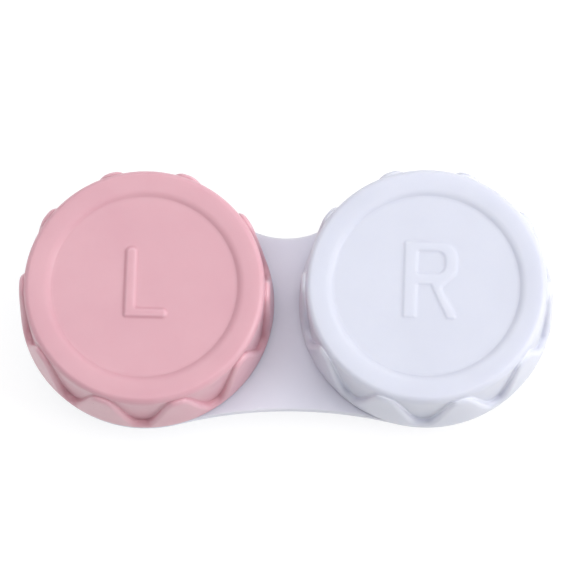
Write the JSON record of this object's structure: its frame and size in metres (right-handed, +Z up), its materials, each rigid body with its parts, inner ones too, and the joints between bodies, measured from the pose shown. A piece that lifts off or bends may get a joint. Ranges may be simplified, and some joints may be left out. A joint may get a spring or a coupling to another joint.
{
  "type": "contact lens case",
  "caption": "Twin-well contact lens case: a waisted white base and two lobed screw caps, pink marked L and white marked R.",
  "frame": {"origin": "on the table under the middle of the case, halfway between the two wells' axes", "axes": "+X from the left well to the right well, +Y to the deep side of the waist, +Z up"},
  "size_m": [0.065, 0.031, 0.015],
  "materials": {
    "base_plastic": "smooth satin polypropylene, natural white",
    "pink_plastic": "satin polypropylene, pastel pink",
    "white_plastic": "satin polypropylene, cool white",
    "silicone": "soft translucent silicone"
  },
  "bodies": {
    "base": {"base": "base_plastic"},
    "seal_left": {"seal_left": "silicone"},
    "cap_left": {"cap_left": "pink_plastic"},
    "seal_right": {"seal_right": "silicone"},
    "cap_right": {"cap_right": "white_plastic"}
  },
  "joints": [
    {"name": "lift_left", "type": "slide", "parent": "base", "child": "seal_left", "axis": [0, 0, 1], "range_m": [0, 0.016]},
    {"name": "unscrew_left", "type": "hinge", "parent": "seal_left", "child": "cap_left", "pos_m": [-0.017, 0, 0.0106], "axis": [0, 0, 1], "range_deg": [0, 1440]},
    {"name": "lift_right", "type": "slide", "parent": "base", "child": "seal_right", "axis": [0, 0, 1], "range_m": [0, 0.016]},
    {"name": "unscrew_right", "type": "hinge", "parent": "seal_right", "child": "cap_right", "pos_m": [0.017, 0, 0.0106], "axis": [0, 0, 1], "range_deg": [0, 1440]}
  ],
  "couplings": [
    {"joint": "lift_left", "follows": "unscrew_left", "m_per_rad": 0.00063661},
    {"joint": "lift_right", "follows": "unscrew_right", "m_per_rad": 0.00063661}
  ]
}
